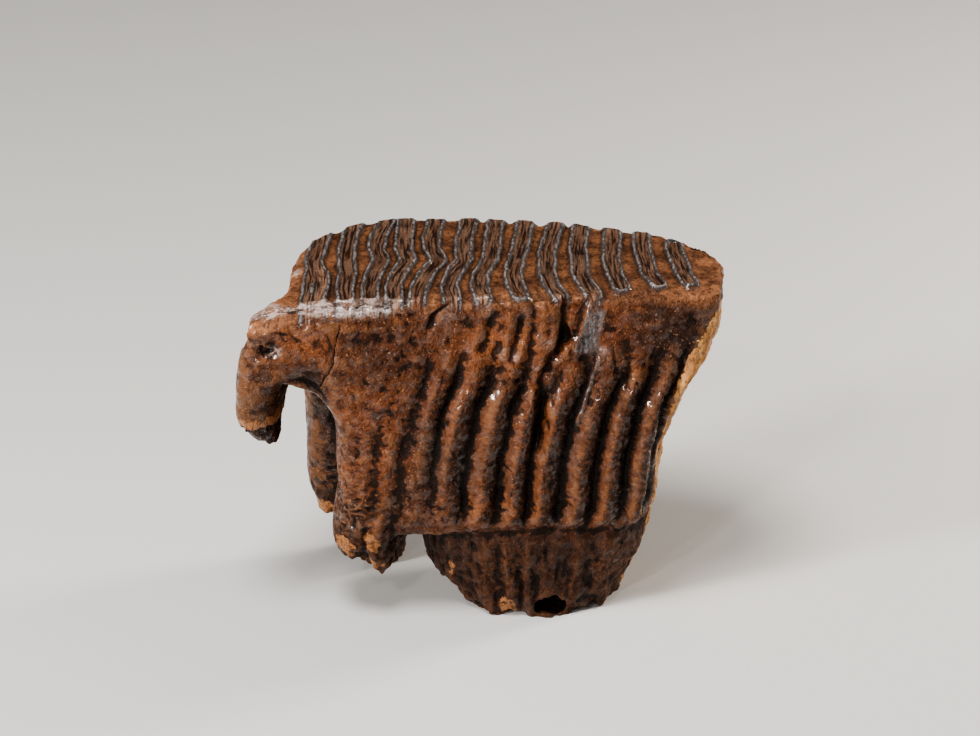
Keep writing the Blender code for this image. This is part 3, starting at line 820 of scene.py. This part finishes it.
def notch_lift(points):
    """How far the gap between the middle root's two tips rises, point by point."""
    x, y, z = points.T
    centre, half, lift = NOTCH
    return lift * bump(centre, half, x) * fall(28, 48, z) * fall(-8, 0, y)


def swell(points):
    """Slow unevenness of the whole tooth."""
    return SWELL_HEIGHT * (noise(points, 34.0, 1) + 0.6 * noise(points, 16.0, 2))


def large_relief(obj):
    """The relief that the solid has too, apart from the chewing surface."""
    points, normals = read_surface(obj)
    along_normal = (rib_relief(points, normals) + side_relief(points, normals)
                    + break_relief(points, normals) + swell(points))
    moved = points + normals * along_normal[:, None]
    moved[:, 2] += foot_lift(points) + notch_lift(points)
    write_points(obj, moved)


def back_relief(points):
    """Upright layers and crumbs of the broken hind end."""
    layers = noise(points * (1, 1, 0.2), 5.0, 107) + 0.6 * noise(points * (1, 1, 0.3), 2.4, 108)
    return 0.9 * layers + 0.4 * noise(points, 2.2, 109)


def fine_relief(obj):
    """Relief too small for the solid."""
    points, normals = read_surface(obj)
    near = rise(0.2, 0.7, -normals[:, 1])
    far = rise(0.25, 0.7, normals[:, 1])
    low = (points[:, 2] < 112).astype(float)
    chewing = chewing_share(points, normals)
    along_normal = (only(near, flat_side_relief, points)
                    + only(near, lambda places: rib_detail(places, True), points)
                    + only(far, lambda places: rib_detail(places, False), points)
                    + only(low, root_detail, points)
                    + only(1.0 - chewing, skin_relief, points))
    along_normal += only(rise(0.45, 0.8, normals[:, 0]) * (points[:, 0] > 60), back_relief, points)
    moved = points + normals * along_normal[:, None]
    moved[:, 2] += top_relief(points, normals) + ragged_ends(points)
    write_points(obj, moved)


def thin_out(obj):
    """Reduce the mesh to its budget of triangles."""
    triangles = sum(len(face.vertices) - 2 for face in obj.data.polygons)
    modify(obj, "DECIMATE", ratio=TRIANGLES / triangles, use_collapse_triangulate=True)


def cut_feet(obj):
    """Cut the broken roots level with the ground and close the cuts."""
    bm = bmesh.new()
    bm.from_mesh(obj.data)
    everything = bm.verts[:] + bm.edges[:] + bm.faces[:]
    cut = bmesh.ops.bisect_plane(bm, geom=everything, dist=1e-6, plane_co=(0, 0, 0),
                                 plane_no=(0, 0, 1), clear_inner=True)
    rim = [item for item in cut["geom_cut"] if isinstance(item, bmesh.types.BMEdge)]
    bmesh.ops.triangle_fill(bm, edges=rim, use_beauty=True, use_dissolve=False, normal=(0, 0, -1))
    bmesh.ops.recalc_face_normals(bm, faces=bm.faces)
    bmesh.ops.triangulate(bm, faces=bm.faces)
    bm.to_mesh(obj.data)
    bm.free()


def end_distance(points):
    """How far each point lies in front of the tooth's hind end at its height."""
    x, z = points[:, 0], points[:, 2]
    row = np.clip((z / END_STEP).astype(int), 0, 99)
    ends = np.full(100, -1e3)
    np.maximum.at(ends, row, x)
    heights = (np.arange(100) + 0.5) * END_STEP
    known = ends > -1e3
    return np.interp(z, heights[known], ends[known]) - x


def broken_share(points, normals):
    """1 where the pale inside of the tooth is bared, 0 on its skin."""
    z = points[:, 2]
    ahead = end_distance(points)
    width = np.interp(z, *zip(*BREAK_WIDTHS)) + 0.8 * noise(points, 5.0, 93)
    strip = rise(0.4, -0.4, ahead - width) * rise(0.3, 0.0, normals[:, 1])
    face = rise(0.3, 0.5, normals[:, 0] + 0.15 * noise(points, 7.0, 105))
    face *= rise(-0.3, -0.1, normals[:, 1])
    face *= rise(36, 28, ahead) * rise(0.75, 0.55, normals[:, 1])
    return np.maximum(strip, face) * rise(166, 158, z)


def chip_share(points):
    """1 where a root's broken end is bared."""
    x, y, z = points.T
    share = np.zeros(len(x))
    for chip_x, chip_y, chip_z, radius, sharpness in CHIPS:
        away = np.sqrt((x - chip_x) ** 2 + (y - chip_y) ** 2 + ((z - chip_z) * sharpness) ** 2)
        ragged = radius * (1 + 0.6 * noise(points, 6.0, 94) + 0.3 * noise(points, 2.8, 95))
        share = np.maximum(share, rise(0.6, -0.6, away - ragged))
    height = peeled_height(points) + 1.5 * noise(points, 3.2, 106)
    peeled = rise(PEELED_Z[1] + 0.6, PEELED_Z[1] - 0.6, height) * (x < FRONT_ROOT_BACK)
    return np.maximum(share, peeled * (1 - rotten_share(points)))


def rib_masks(points, normals):
    """Where each point lies across its rib: on its flank that faces the key lamp, on its crest, on the side
    away from the lamp, or in the groove.
    """
    x, z = points[:, 0], points[:, 2]
    place = np.where(normals[:, 1] < 0, rib_place(points, True), rib_place(points, False))
    band = span(CERVIX_Z - 1, CERVIX_Z + 9, 118, 150, z)
    along = rise(-34, -12, x + 0.2 * (z - 80)) * fall(96, 104, x)
    share = band * along * rise(0.1, 0.4, np.abs(normals[:, 1]))
    beside = place - np.round(place)
    beside = beside + 0.06 * noise(points * (1, 1, 0.4), 8.0, 102)
    # Painted shade on the groove and on the crest's side away from the key lamp; the flank facing the lamp
    # is painted paler.
    groove = np.maximum(rise(0.2, 0.44, beside), rise(-0.4, -0.5, beside))
    crest = rise(-0.16, 0.02, beside) * rise(0.5, 0.34, beside)
    return {"groove": share * groove, "lit_flank": share * bump(-0.24, 0.2, beside), "crest": share * crest}


def spots(x, z, places):
    """The strongest of several round spots at each point."""
    return np.max([-dent(x, z, place) for place in places], axis=0)


def brow_highlight_share(points):
    """1 on the brow below the chewing surface and on the edge of the front corner's step, where highlights
    of the lamps are painted pale.
    """
    x, y, z = points.T
    brow_z = z + 5 * rise(-84, -106, x) + noise(points, 4.0, 101)
    brow = rise(BROW_Z + 0.8, BROW_Z + 2.4, brow_z) * fall(-48, -34, x)
    brow *= rise(5.0, 3.2, rim_gap(points) + 1.4 * noise(points, 5.0, 104)) * (y < -20)
    step_y = CORNER_STEP[0]
    # Painted glint along the bright edge of the front corner's step.
    glint = bump(step_y - 1.5, 2.5, y) * bump(-86, 6, x) * (z > 158)
    return np.maximum(brow, glint)


def bared_share(points):
    """1 where the enamel of a plate is bared on the long side."""
    wobble = side_wobble(points)
    x, z = points[:, 0] + wobble, points[:, 2] + 0.8 * wobble
    edge = line_relief(x, z, ENAMEL_EDGE, ENAMEL_EDGE_HALF, 1.0)
    return np.maximum(edge, between(x, z, BARE_LEFT, BARE_RIGHT, 1.2))


def surface_masks(obj):
    """What the material needs to know about each place on the surface."""
    points, normals = read_surface(obj)
    x, y, z = points.T
    near = rise(0.1, 0.5, -normals[:, 1])
    top_z = 158 - 10 * rise(-84, -100, x)
    # Painted shadow: the far root behind the arch is darkened where the real tooth lies in shade.
    behind = rise(-14, -6, y) * rise(-54, -62, x) * rise(130, 116, z)
    # Painted shade, partly darker patina: the SHADES areas, kept off faces turned to the far side.
    shade = rise(0.9, 0.5, normals[:, 1]) * spots(x, z, SHADES)
    return {
        "plate": np.clip(plate_distance(points), -9, 9),
        "island": np.clip(island_distance(points), -9, 9),
        "along": y,
        "across": plate_offset(points),
        "chewing": rise(0.15, 0.5, spread(obj, normals, 6)[:, 2]) * rise(top_z, top_z + 4, z),
        "plates": plate_reach(x),
        "hollow": hollowness(obj, points, normals, 8),
        # How far each point lies in a broad hollow; it drives painted shade mixed with patina.
        "deep": hollowness(obj, points, normals, 60),
        "broken": broken_share(points, normals),
        "chip": chip_share(points),
        "low": fall(CERVIX_Z - 6, CERVIX_Z + 6, z + 3 * noise(points, 9.0, 96)),
        "brow": np.maximum(brow_highlight_share(points), near * spots(x, z, PAINTED_GLINTS)),
        "bared": near * bared_share(points),
        "stain": near * spots(x, z, STAINS),
        "shade": np.maximum(shade, 0.75 * behind),
        "satin": near * spots(x, z, SATIN),
        "crumbly": spots(x, z, CRUMBLY),
        "rotten": rotten_share(points),
        **rib_masks(points, normals),
    }


def store_masks(obj):
    """Keep each mask as a number for each point of the mesh."""
    for name, values in surface_masks(obj).items():
        attribute = obj.data.attributes.new(name, "FLOAT", "POINT")
        attribute.data.foreach_set("value", values.astype(np.float32))


def spread(obj, points, rounds):
    """The points after each has moved to the middle of its neighbours, rounds times."""
    edges = np.empty(len(obj.data.edges) * 2, dtype=np.int32)
    obj.data.edges.foreach_get("vertices", edges)
    one, other = edges.reshape(-1, 2).T
    ends = np.concatenate([one, other])
    starts = np.concatenate([other, one])
    count = np.bincount(ends, minlength=len(points)).astype(float)
    for _ in range(rounds):
        sums = [np.bincount(ends, weights=points[starts, axis], minlength=len(points)) for axis in range(3)]
        points = np.stack(sums, axis=1) / count[:, None]
    return points


def hollowness(obj, points, normals, rounds):
    """How far each point lies below the surface around it, in millimetres."""
    return np.sum((spread(obj, points, rounds) - points) * normals, axis=1)


def centre(obj):
    """Move the mesh sideways until its bounding box is centred over the origin."""
    points, _ = read_surface(obj)
    middle = (points.min(axis=0) + points.max(axis=0)) / 2
    middle[2] = 0.0
    write_points(obj, points - middle)


def make_tooth():
    """The fine mesh of the whole tooth."""
    tooth = block_out()
    modify(tooth, "SUBSURF", levels=1, render_levels=1)
    large_relief(tooth)
    open_pulp(tooth)
    fuse_voxels(tooth, FINE_VOXEL, FINE_SOFTENING)
    fine_relief(tooth)
    thin_out(tooth)
    cut_feet(tooth)
    store_masks(tooth)
    centre(tooth)
    tooth.data.shade_smooth()
    tooth.data.set_sharp_from_angle(angle=SHARP_ANGLE)
    return tooth


class Value:
    """What a node puts out, open to plain arithmetic."""

    def __init__(self, nodes, socket):
        self.nodes = nodes
        self.socket = socket

    def __add__(self, other):
        return self.nodes.maths("ADD", self, other)

    def __sub__(self, other):
        return self.nodes.maths("SUBTRACT", self, other)

    def __rsub__(self, other):
        return self.nodes.maths("SUBTRACT", other, self)

    def __mul__(self, other):
        return self.nodes.maths("MULTIPLY", self, other)

    def __abs__(self):
        return self.nodes.maths("ABSOLUTE", self, 0.0)

    __rmul__ = __mul__


class Shading:
    """A material's node tree, with short calls for the nodes that it is made of."""

    def __init__(self, name):
        self.material = bpy.data.materials.new(name)
        self.material.use_nodes = True
        self.tree = self.material.node_tree
        self.shader = self.tree.nodes["Principled BSDF"]
        self.place = self.node("TexCoord", "Object", {})

    def feed(self, node, inputs):
        """Give a node's inputs a constant each, or what another node puts out."""
        for name, value in inputs.items():
            socket = node.inputs[name]
            if isinstance(value, Value):
                self.tree.links.new(value.socket, socket)
            elif socket.type == "RGBA":
                socket.default_value = (*value, 1.0)
            else:
                socket.default_value = value

    def node(self, kind, output, inputs, **settings):
        """What a new node with these inputs and settings puts out."""
        made = self.tree.nodes.new("ShaderNode" + kind)
        for name, value in settings.items():
            setattr(made, name, value)
        self.feed(made, inputs)
        return Value(self, made.outputs[output])

    def mask(self, name):
        """A number that the mesh carries."""
        return self.node("Attribute", "Fac", {}, attribute_name=name)

    def noise(self, vector, scale, detail, roughness):
        """Noise over a vector, from 0 to 1."""
        inputs = {"Vector": vector, "Scale": scale, "Detail": detail, "Roughness": roughness}
        return self.node("TexNoise", "Fac", inputs)

    def lumps(self, size, detail=3.0, roughness=0.55, stretch=(1.0, 1.0, 1.0), offset=0.0):
        """Noise with lumps about size millimetres across, from 0 to 1."""
        shift = (offset, offset * 0.7, offset * 1.3)
        vector = self.node("Mapping", "Vector", {"Vector": self.place, "Location": shift, "Scale": stretch})
        return self.noise(vector, 1.0 / (size * MM), detail, roughness)

    def lines(self, across, along, size):
        """Fine lines that keep to one value of across, and drift slowly along."""
        vector = self.node("CombineXYZ", "Vector", {"X": across, "Y": along * 0.07})
        return self.noise(vector, 1.0 / size, 2.0, 0.6)

    def step(self, value, start, end, to_start=0.0, to_end=1.0):
        """Ease from to_start where value is start to to_end where it is end."""
        inputs = {"Value": value, "From Min": start, "From Max": end, "To Min": to_start, "To Max": to_end}
        return self.node("MapRange", "Result", inputs, interpolation_type="SMOOTHSTEP")

    def maths(self, operation, first, second):
        """One number worked out from two."""
        return self.node("Math", "Value", {0: first, 1: second}, operation=operation)

    def most(self, first, second):
        """The larger of two numbers."""
        return self.maths("MAXIMUM", first, second)

    def mix(self, share, first, second):
        """A share of the second colour over the first."""
        inputs = {"Factor": share, "A": first, "B": second}
        return self.node("Mix", "Result", inputs, data_type="RGBA")

    def cover(self, colour, *layers):
        """Lay more colours over a first one, each with its share, from the bottom up."""
        for share, above in layers:
            colour = self.mix(share, colour, above)
        return colour


def cement_colour(nodes):
    """Brown cement: cloudy, with dark mineral stains, paler smooth patches, painted shade, pores and pale
    crumbs.
    """
    clouds = nodes.step(nodes.lumps(32, 4.0), 0.38, 0.62)
    blotches = nodes.step(nodes.lumps(7, 5.0, 0.65, offset=0.13), 0.48, 0.66)
    stained = nodes.step(nodes.lumps(6, 6.0, 0.7, offset=0.41), 0.3, 0.8, -0.75, 0.75)
    grain = nodes.step(nodes.lumps(2.1, 4.0, 0.8, offset=0.77), 0.48, 0.60)
    crumbs = nodes.step(nodes.lumps(1.3, 2.0, 0.6, offset=0.29), 0.61, 0.70)
    satin = nodes.mask("satin")
    return nodes.cover(CEMENT_MID, (clouds, CEMENT_LIGHT), (blotches * 0.5, CEMENT_DARK),
                       (nodes.step(nodes.mask("stain") + stained, 0.25, 0.75, 0.0, 0.85), MANGANESE),
                       # The shade mask lays painted shade, partly darker patina, over the cement.
                       (satin * 0.75, CEMENT_SATIN), (nodes.mask("shade"), CEMENT_DARK),
                       (grain * (0.62 - satin * 0.3), PATINA), (crumbs * 0.55, CRUMB))


def ribbed_colour(nodes, colour):
    """Ribs: a smooth flank painted paler as light where it faces the key lamp, a dark pebbly crest, partly
    patina and partly painted shade on the side away from the lamp, and a groove darkened with dirt and
    painted shade.
    """
    speckled = nodes.step(nodes.lumps(1.7, 3.0, 0.65, offset=0.37), 0.44, 0.60)
    pebbly = nodes.mix(speckled, PATINA, CEMENT_MID)
    return nodes.cover(colour, (nodes.mask("lit_flank") * 0.65, PALE_LIT_FLANK), (nodes.mask("crest") * 0.9, pebbly),
                       (nodes.mask("groove") * 0.85, PATINA_AND_SHADE))


def low_colour(nodes, colour):
    """The darker roots' base, and the orange crumbs above and on it."""
    crumbly = nodes.step(nodes.lumps(2.2, 3.0, 0.7, offset=0.91), 0.45, 0.60)
    return nodes.cover(colour, (nodes.mask("low") * 0.8, CEMENT_DARK),
                       (crumbly * nodes.mask("crumbly") * 0.75, CRUMBLY_BAND))


def enamel_colour(nodes, nearness):
    """Dark grey enamel, paler and chipped along the middle of its ridge."""
    patchy = nodes.step(nodes.lumps(2.4, 4.0, 0.75, offset=0.55), 0.40, 0.60)
    return nodes.mix(nodes.step(nearness, 0.80, 0.15) * patchy, ENAMEL, ENAMEL_CREST)


def bared_colour(nodes):
    """The grey face of a plate's enamel, finely striped up and down."""
    stripes = nodes.step(nodes.lumps(1.6, 3.0, 0.6, UPRIGHT, 0.55), 0.40, 0.62)
    return nodes.mix(stripes, ENAMEL, ENAMEL_FACE)


def dentine_colour(nodes):
    """Worn dentine with fine lines along each plate."""
    streaks = nodes.step(nodes.lines(nodes.mask("across"), nodes.mask("along"), 1.1), 0.40, 0.58)
    warm = nodes.step(nodes.lumps(11, 3.0, offset=0.63), 0.45, 0.65)
    return nodes.cover(DENTINE_DARK, (streaks, DENTINE), (warm * 0.35, CEMENT_MID))


def broken_colour(nodes):
    """Pale broken bone, streaked with dark dirt."""
    layers = nodes.step(nodes.lumps(9, 4.0, 0.6, UPRIGHT, 0.47), 0.38, 0.58, 0.0, 0.85)
    dirt = nodes.step(nodes.lumps(1.2, 4.0, 0.7, (1.0, 1.0, 0.4), 0.35), 0.46, 0.70, 0.0, 0.8)
    caked = nodes.step(nodes.mask("hollow"), 0.1, 0.45, 0.0, 0.8)
    return nodes.cover(BONE_TAN, (layers, BONE_BROWN), (dirt, BONE_STREAK), (caked, BONE_STREAK))


def chipped_colour(nodes):
    """The duller brown of a broken root."""
    dirt = nodes.step(nodes.lumps(2.6, 4.0, 0.7, offset=0.21), 0.52, 0.66, 0.0, 0.9)
    return nodes.mix(dirt, CHIP, CEMENT_DARK)


def worn_colour(nodes, plate, nearness, on_enamel):
    """The chewing surface: dentine inside the enamel loops and cement between them."""
    clouds = nodes.step(nodes.lumps(10, 4.0, 0.6, offset=0.33), 0.38, 0.62)
    grain = nodes.step(nodes.lumps(1.8, 4.0, 0.65, offset=0.17), 0.46, 0.66, 0.0, 0.7)
    inside = nodes.step(plate, -0.6, -1.1) * nodes.mask("plates")
    return nodes.cover(CEMENT_TOP_DARK, (clouds, CEMENT_TOP), (grain, CEMENT_DARK),
                       (nodes.step(nearness, 2.6, 1.2, 0.0, 0.55), PATINA),
                       (inside, dentine_colour(nodes)), (on_enamel, enamel_colour(nodes, nearness)))


def weathered(nodes, colour, chewing):
    """Dark patina in the hollows, with painted shade in the broad, deep hollows, and edges rubbed paler."""
    hollow = nodes.mask("hollow")
    share = 0.85 - chewing * 0.75
    covered = nodes.most(nodes.mask("crest"), nodes.mask("low") * 0.7)
    rubbed = nodes.step(hollow, -0.16, -0.50) * share * (0.55 - covered * 0.5)
    return nodes.cover(colour, (nodes.step(hollow, 0.05, 0.32) * share, PATINA_AND_SHADE),
                       # Painted shade, mixed with patina, in the broad hollows.
                       (nodes.step(nodes.mask("deep"), 0.7, 2.4) * share * 0.8, PATINA_AND_SHADE),
                       (rubbed, RUBBED))


def ragged_mask(nodes, name, ragged):
    """A mask of the mesh, with a ragged edge."""
    return nodes.step(nodes.mask(name) + nodes.step(ragged, 0.3, 0.7, -0.3, 0.3), 0.4, 0.6)


def fossil_colour(nodes, ragged, worn, bared, broken):
    """All the colours, laid over one another from the cement up."""
    chewing = nodes.mask("chewing")
    wrinkles = nodes.lumps(2.0, 5.0, 0.75, (0.45, 1.0, 1.0), 0.67)
    # Painted highlight on the brow, the corner step and the glint spots, broken by dark wrinkles.
    painted_highlight = nodes.mask("brow") * nodes.step(wrinkles, 0.42, 0.60, 0.05, 0.9)
    colour = low_colour(nodes, ribbed_colour(nodes, cement_colour(nodes)))
    colour = weathered(nodes, nodes.cover(colour, (chewing, worn), (painted_highlight, BROW_PAINTED_HIGHLIGHT)), chewing)
    return nodes.cover(colour, (nodes.mask("rotten") * 0.8, PATINA), (bared, bared_colour(nodes)),
                       (ragged_mask(nodes, "chip", ragged), chipped_colour(nodes)),
                       (broken, broken_colour(nodes)))


def set_gloss(nodes, on_enamel, bared, broken):
    """The roughness, and a patchy coat of varnish."""
    chewing = nodes.mask("chewing")
    glossy = nodes.most(nodes.most(on_enamel * chewing, bared), nodes.mask("brow"))
    rough = nodes.step(nodes.lumps(6, 4.0, 0.6, offset=0.83), 0.35, 0.7, 0.42, 0.65)
    varnish = nodes.step(nodes.lumps(4, 3.0, 0.6, offset=0.19), 0.46, 0.60, 0.10, 0.75)
    clean = nodes.step(nodes.mask("hollow"), 0.22, 0.02, 0.1, 1.0) * (1.0 - nodes.mask("low") * 0.55)
    coat = nodes.most(varnish * clean, glossy * 0.95) * nodes.step(chewing, 0.2, 0.9, 1.0, 0.5)
    nodes.feed(nodes.shader, {"Roughness": rough - glossy * 0.12 + broken * 0.35,
                              "Specular IOR Level": SPECULAR,
                              "Coat Weight": coat, "Coat Roughness": VARNISH_ROUGHNESS})


def set_bump(nodes):
    """Pebbles and sand too fine for the mesh, faint on the smooth flanks of the ribs."""
    height = nodes.lumps(2.6, 3.0, 0.6, offset=0.07) + nodes.lumps(1.0, 2.0, 0.5, offset=0.49) * 0.35
    coarse = 1.0 - nodes.mask("lit_flank") * 0.7 + nodes.mask("crest") * 0.5
    inputs = {"Strength": 0.9, "Distance": BUMP_HEIGHT * MM, "Height": height * coarse}
    nodes.feed(nodes.shader, {"Normal": nodes.node("Bump", "Normal", inputs)})


def fossil_material():
    """Varnished fossil: cement, dentine, enamel and broken bone, told apart by the mesh's masks."""
    nodes = Shading("fossil")
    ragged = nodes.lumps(1.4, 3.0, 0.6, offset=0.57)
    plate = nodes.mask("plate") + nodes.step(ragged, 0.3, 0.7, -0.2, 0.2)
    nearness = nodes.maths("MINIMUM", abs(plate), abs(nodes.mask("island")) + 0.25)
    on_enamel = nodes.step(nearness, 1.25, 0.85) * nodes.mask("plates")
    bared = nodes.mask("bared") * nodes.step(ragged, 0.35, 0.55, 0.25, 0.9)
    broken = ragged_mask(nodes, "broken", ragged)
    worn = worn_colour(nodes, plate, nearness, on_enamel)
    nodes.feed(nodes.shader, {"Base Color": fossil_colour(nodes, ragged, worn, bared, broken)})
    set_gloss(nodes, on_enamel, bared, broken)
    set_bump(nodes)
    return nodes.material


def add_floor():
    """The plain pale floor."""
    mesh = bpy.data.meshes.new("floor")
    corners = [(x, y, 0) for x, y in ((-1, -1), (1, -1), (1, 1), (-1, 1))]
    mesh.from_pydata([(x * FLOOR_HALF, y * FLOOR_HALF, z) for x, y, z in corners], [], [(0, 1, 2, 3)])
    material = bpy.data.materials.new("pale_floor")
    material.use_nodes = True
    shader = material.node_tree.nodes["Principled BSDF"]
    shader.inputs["Base Color"].default_value = FLOOR_COLOUR
    shader.inputs["Roughness"].default_value = 0.9
    mesh.materials.append(material)
    add_object("floor", mesh)


def add_light(name, place, size, power, colour):
    """A soft area light at place that shines at the tooth."""
    lamp = bpy.data.lights.new(name, "AREA")
    lamp.shape = "DISK"
    lamp.size = size
    lamp.energy = power
    lamp.color = colour
    light = add_object(name, lamp)
    light.location = place
    light.rotation_euler = (VIEW_AIM - Vector(place)).to_track_quat("-Z", "Y").to_euler()


def add_camera():
    """The photographed view: level with the long side, looking down on the chewing surface."""
    data = bpy.data.cameras.new("camera")
    data.sensor_width = SENSOR
    data.lens = SENSOR * VIEW_DISTANCE / VIEW_WIDTH
    camera = add_object("camera", data)
    outward = Vector((0, -math.cos(VIEW_ELEVATION), math.sin(VIEW_ELEVATION)))
    camera.location = VIEW_AIM + outward * VIEW_DISTANCE
    camera.rotation_euler = (-outward).to_track_quat("-Z", "Y").to_euler()
    bpy.context.scene.camera = camera


def add_world():
    """Even, dim light from all round."""
    world = bpy.data.worlds.new("studio")
    world.use_nodes = True
    sky = world.node_tree.nodes["Background"]
    sky.inputs["Color"].default_value = WORLD_COLOUR
    sky.inputs["Strength"].default_value = WORLD_STRENGTH
    bpy.context.scene.world = world


add_camera()
add_world()
add_floor()
bpy.context.scene.view_settings.look = "AgX - Medium High Contrast"
for light in LIGHTS:
    add_light(*light)
tooth = make_tooth()
tooth.data.materials.clear()
tooth.data.materials.append(fossil_material())
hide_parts(NODE)
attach(tooth, "root")
